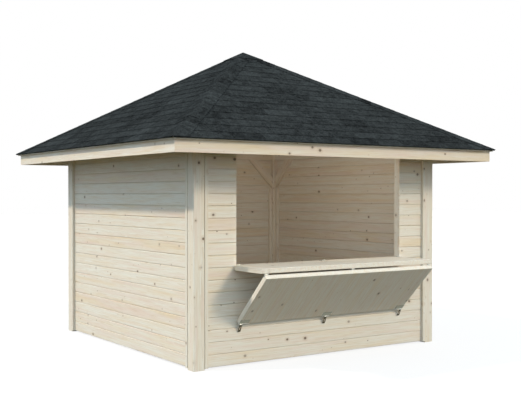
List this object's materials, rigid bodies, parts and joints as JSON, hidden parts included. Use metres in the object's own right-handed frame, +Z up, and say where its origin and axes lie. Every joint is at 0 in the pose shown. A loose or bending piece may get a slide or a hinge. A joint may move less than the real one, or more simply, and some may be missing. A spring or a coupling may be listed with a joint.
{
  "type": "wooden market stall",
  "caption": "Square boarded timber market stall on corner posts, with a hipped shingle roof, wide eaves and a serving opening with a hinged fold-down counter and flap.",
  "frame": {"origin": "middle of the square plan, on the ground under the post feet", "axes": "+Z up; the front with the serving opening faces -Y; +X to the right seen from the front"},
  "size_m": [3.946, 3.946, 3.2272],
  "materials": {
    "planed_pine": "planed, unpainted softwood",
    "bitumen_shingle": "mineral-coated bitumen",
    "zinc_plated_steel": "zinc plated"
  },
  "bodies": {
    "stall": {"post_front_left": "planed_pine", "post_front_right": "planed_pine", "post_back_left": "planed_pine", "post_back_right": "planed_pine", "plate_front": "planed_pine", "plate_right": "planed_pine", "plate_back": "planed_pine", "plate_left": "planed_pine", "wall_back": "planed_pine", "wall_left": "planed_pine", "wall_right": "planed_pine", "front_wall_lower": "planed_pine", "front_wall_left": "planed_pine", "front_wall_right": "planed_pine", "outside_battens": "planed_pine", "inside_battens": "planed_pine", "knee_braces": "planed_pine", "jamb_studs": "planed_pine", "sill_rail": "planed_pine", "sill_board": "planed_pine", "king_block": "planed_pine", "hip_rafters": "planed_pine", "rafters_front": "planed_pine", "rafters_right": "planed_pine", "rafters_back": "planed_pine", "rafters_left": "planed_pine", "roof_deck_front": "planed_pine", "roof_deck_right": "planed_pine", "roof_deck_back": "planed_pine", "roof_deck_left": "planed_pine", "fascia_front": "planed_pine", "fascia_right": "planed_pine", "fascia_back": "planed_pine", "fascia_left": "planed_pine", "shingles_front": "bitumen_shingle", "shingles_right": "bitumen_shingle", "shingles_back": "bitumen_shingle", "shingles_left": "bitumen_shingle", "hip_caps": "bitumen_shingle", "sill_hinge_leaves": "zinc_plated_steel"},
    "counter": {"counter_leaf": "planed_pine", "counter_hinge_leaves": "zinc_plated_steel"},
    "flap": {"flap_leaf": "planed_pine", "flap_hinge_leaves": "zinc_plated_steel", "hasps": "zinc_plated_steel"}
  },
  "joints": [
    {"name": "counter_fold", "type": "hinge", "parent": "stall", "child": "counter", "pos_m": [0, -1.481, 0.951], "axis": [-1, 0, 0], "range_deg": [0, 90]},
    {"name": "flap_fold", "type": "hinge", "parent": "counter", "child": "flap", "pos_m": [0, -1.941, 0.894], "axis": [-1, 0, 0], "range_deg": [0, 135]}
  ]
}
